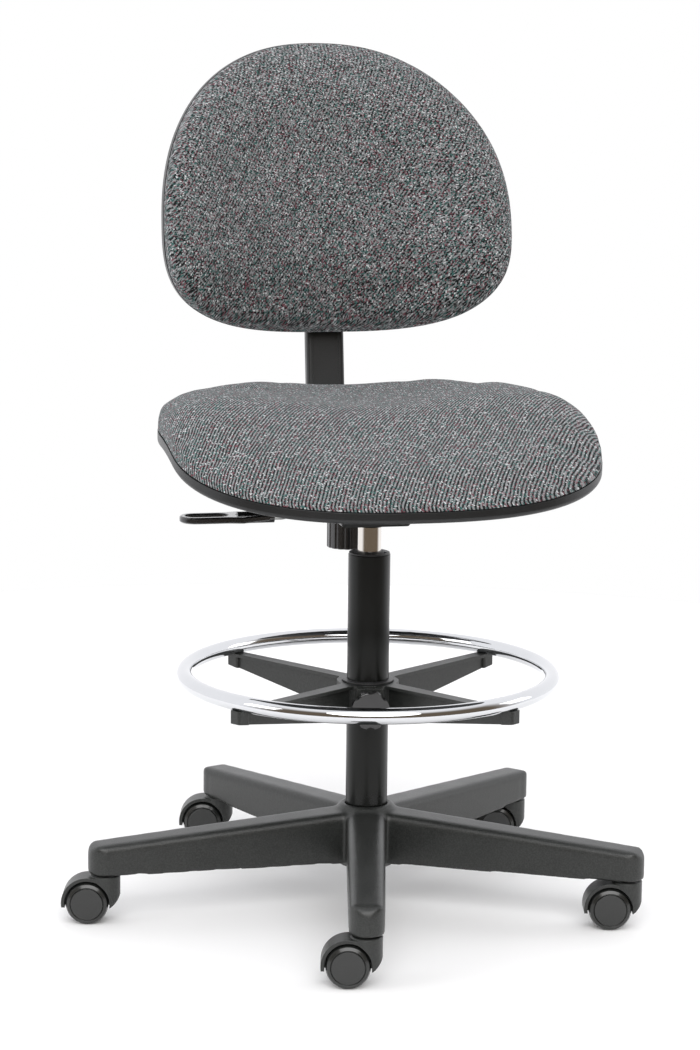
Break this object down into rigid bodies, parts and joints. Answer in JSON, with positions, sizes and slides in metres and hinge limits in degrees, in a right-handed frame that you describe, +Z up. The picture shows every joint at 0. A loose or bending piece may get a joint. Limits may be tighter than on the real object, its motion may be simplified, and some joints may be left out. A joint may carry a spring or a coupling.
{
  "type": "drafting chair",
  "caption": "Armless drafting chair with a padded seat and curved back, a gas lift, a clamped chrome foot ring and a star base on twin-wheel castors.",
  "frame": {"origin": "on the floor under the swivel axis of the lift", "axes": "+Z up, a sitter faces -Y, +X is at the sitter's left hand"},
  "size_m": [0.6695, 0.6615, 1.019],
  "materials": {
    "seat_fabric": "woven tweed",
    "shell_plastic": "fine grained",
    "base_nylon": "textured glass-filled nylon",
    "black_paint": "satin powder coat",
    "ring_chrome": "polished",
    "lift_chrome": "polished",
    "plain_steel": "zinc plated",
    "knob_plastic": "semi-gloss",
    "wheel_nylon": "smooth moulded",
    "plywood": "unfinished ply",
    "guide_nylon": "natural moulded",
    "stop_rubber": "matt"
  },
  "bodies": {
    "base": {"star_base": "base_nylon", "castor_stems": "plain_steel", "stem_grip_rings": "plain_steel", "column_tube": "black_paint", "guide_bushing": "guide_nylon", "bearing_lower_washer": "plain_steel"},
    "lift_rod": {"piston_rod": "lift_chrome", "rod_clip": "plain_steel", "bearing_upper_washer": "plain_steel", "bearing_balls": "plain_steel", "bump_stop": "stop_rubber"},
    "seat": {"gas_cylinder": "lift_chrome", "cylinder_gland": "stop_rubber", "taper_socket": "black_paint", "mechanism_housing": "black_paint", "mechanism_plate": "black_paint", "lever_pin": "plain_steel", "seat_shell": "shell_plastic", "seat_board": "plywood", "seat_cushion": "seat_fabric", "mechanism_bolts": "plain_steel"},
    "lever": {"height_lever": "plain_steel", "lever_handle": "knob_plastic"},
    "valve": {"valve_pin": "plain_steel"},
    "back_arm": {"back_bar": "black_paint", "bar_cover": "shell_plastic"},
    "depth_screw": {"depth_knob": "knob_plastic"},
    "backrest": {"back_bracket": "black_paint", "back_shell": "shell_plastic", "back_board": "plywood", "back_cushion": "seat_fabric", "back_screws": "plain_steel"},
    "back_screw_knob": {"back_knob": "knob_plastic"},
    "ring_sleeve": {"footring_sleeve": "guide_nylon"},
    "footring": {"footring_tube": "ring_chrome", "footring_spider": "base_nylon", "footring_screws": "plain_steel", "footring_nut": "plain_steel"},
    "ring_knob": {"footring_knob": "knob_plastic", "footring_stud": "plain_steel"},
    "castor_1": {"castor_hood_1": "base_nylon", "castor_axle_1": "plain_steel"},
    "wheel_1a": {"castor_wheel_1a": "wheel_nylon"},
    "wheel_1b": {"castor_wheel_1b": "wheel_nylon"},
    "castor_2": {"castor_hood_2": "base_nylon", "castor_axle_2": "plain_steel"},
    "wheel_2a": {"castor_wheel_2a": "wheel_nylon"},
    "wheel_2b": {"castor_wheel_2b": "wheel_nylon"},
    "castor_3": {"castor_hood_3": "base_nylon", "castor_axle_3": "plain_steel"},
    "wheel_3a": {"castor_wheel_3a": "wheel_nylon"},
    "wheel_3b": {"castor_wheel_3b": "wheel_nylon"},
    "castor_4": {"castor_hood_4": "base_nylon", "castor_axle_4": "plain_steel"},
    "wheel_4a": {"castor_wheel_4a": "wheel_nylon"},
    "wheel_4b": {"castor_wheel_4b": "wheel_nylon"},
    "castor_5": {"castor_hood_5": "base_nylon", "castor_axle_5": "plain_steel"},
    "wheel_5a": {"castor_wheel_5a": "wheel_nylon"},
    "wheel_5b": {"castor_wheel_5b": "wheel_nylon"}
  },
  "joints": [
    {"name": "seat_swivel", "type": "hinge", "parent": "base", "child": "lift_rod", "pos_m": [0, 0, 0.045], "axis": [0, 0, 1], "continuous": true},
    {"name": "seat_height", "type": "slide", "parent": "lift_rod", "child": "seat", "axis": [0, 0, 1], "range_m": [0, 0.25]},
    {"name": "lever_lift", "type": "hinge", "parent": "seat", "child": "lever", "pos_m": [-0.031, 0, 0.523], "axis": [0, 1, 0], "range_deg": [0, 8], "stiffness_Nm_per_rad": 1.5, "springref_deg": -8.59},
    {"name": "valve_press", "type": "slide", "parent": "seat", "child": "valve", "axis": [0, 0, 1], "range_m": [-0.005, 0]},
    {"name": "back_depth", "type": "slide", "parent": "seat", "child": "back_arm", "axis": [0, 1, 0], "range_m": [-0.02, 0.03]},
    {"name": "depth_knob_turn", "type": "hinge", "parent": "seat", "child": "depth_screw", "pos_m": [0, 0.118, 0.43], "axis": [0, 0, 1], "continuous": true},
    {"name": "back_height", "type": "slide", "parent": "back_arm", "child": "backrest", "axis": [0, 0.1392, 0.9903], "range_m": [-0.05, 0.06]},
    {"name": "back_knob_turn", "type": "hinge", "parent": "backrest", "child": "back_screw_knob", "pos_m": [0, 0.28182, 0.8], "axis": [0, 0.9903, -0.1392], "continuous": true},
    {"name": "ring_height", "type": "slide", "parent": "base", "child": "ring_sleeve", "axis": [0, 0, 1], "range_m": [-0.1, 0.12]},
    {"name": "ring_turn", "type": "hinge", "parent": "ring_sleeve", "child": "footring", "pos_m": [0, 0, 0.25], "axis": [0, 0, 1], "continuous": true},
    {"name": "ring_knob_turn", "type": "hinge", "parent": "footring", "child": "ring_knob", "pos_m": [-0.00868, -0.04924, 0.249], "axis": [-0.1736, -0.9848, 0], "continuous": true},
    {"name": "castor_1_swivel", "type": "hinge", "parent": "base", "child": "castor_1", "pos_m": [-0.07243, -0.31375, 0.05], "axis": [0, 0, 1], "continuous": true},
    {"name": "wheel_1a_roll", "type": "hinge", "parent": "castor_1", "child": "wheel_1a", "pos_m": [-0.09192, -0.30925, 0.025], "axis": [0.225, 0.9744, 0], "continuous": true},
    {"name": "wheel_1b_roll", "type": "hinge", "parent": "castor_1", "child": "wheel_1b", "pos_m": [-0.09192, -0.30925, 0.025], "axis": [0.225, 0.9744, 0], "continuous": true},
    {"name": "castor_2_swivel", "type": "hinge", "parent": "base", "child": "castor_2", "pos_m": [0.27601, -0.16584, 0.05], "axis": [0, 0, 1], "continuous": true},
    {"name": "wheel_2a_roll", "type": "hinge", "parent": "castor_2", "child": "wheel_2a", "pos_m": [0.25652, -0.16134, 0.025], "axis": [0.225, 0.9744, 0], "continuous": true},
    {"name": "wheel_2b_roll", "type": "hinge", "parent": "castor_2", "child": "wheel_2b", "pos_m": [0.25652, -0.16134, 0.025], "axis": [0.225, 0.9744, 0], "continuous": true},
    {"name": "castor_3_swivel", "type": "hinge", "parent": "base", "child": "castor_3", "pos_m": [0.24302, 0.21125, 0.05], "axis": [0, 0, 1], "continuous": true},
    {"name": "wheel_3a_roll", "type": "hinge", "parent": "castor_3", "child": "wheel_3a", "pos_m": [0.22353, 0.21575, 0.025], "axis": [0.225, 0.9744, 0], "continuous": true},
    {"name": "wheel_3b_roll", "type": "hinge", "parent": "castor_3", "child": "wheel_3b", "pos_m": [0.22353, 0.21575, 0.025], "axis": [0.225, 0.9744, 0], "continuous": true},
    {"name": "castor_4_swivel", "type": "hinge", "parent": "base", "child": "castor_4", "pos_m": [-0.12582, 0.2964, 0.05], "axis": [0, 0, 1], "continuous": true},
    {"name": "wheel_4a_roll", "type": "hinge", "parent": "castor_4", "child": "wheel_4a", "pos_m": [-0.1453, 0.3009, 0.025], "axis": [0.225, 0.9744, 0], "continuous": true},
    {"name": "wheel_4b_roll", "type": "hinge", "parent": "castor_4", "child": "wheel_4b", "pos_m": [-0.1453, 0.3009, 0.025], "axis": [0.225, 0.9744, 0], "continuous": true},
    {"name": "castor_5_swivel", "type": "hinge", "parent": "base", "child": "castor_5", "pos_m": [-0.32077, -0.02806, 0.05], "axis": [0, 0, 1], "continuous": true},
    {"name": "wheel_5a_roll", "type": "hinge", "parent": "castor_5", "child": "wheel_5a", "pos_m": [-0.34026, -0.02357, 0.025], "axis": [0.225, 0.9744, 0], "continuous": true},
    {"name": "wheel_5b_roll", "type": "hinge", "parent": "castor_5", "child": "wheel_5b", "pos_m": [-0.34026, -0.02357, 0.025], "axis": [0.225, 0.9744, 0], "continuous": true}
  ],
  "couplings": [
    {"joint": "valve_press", "follows": "lever_lift", "m_per_rad": -0.031}
  ]
}
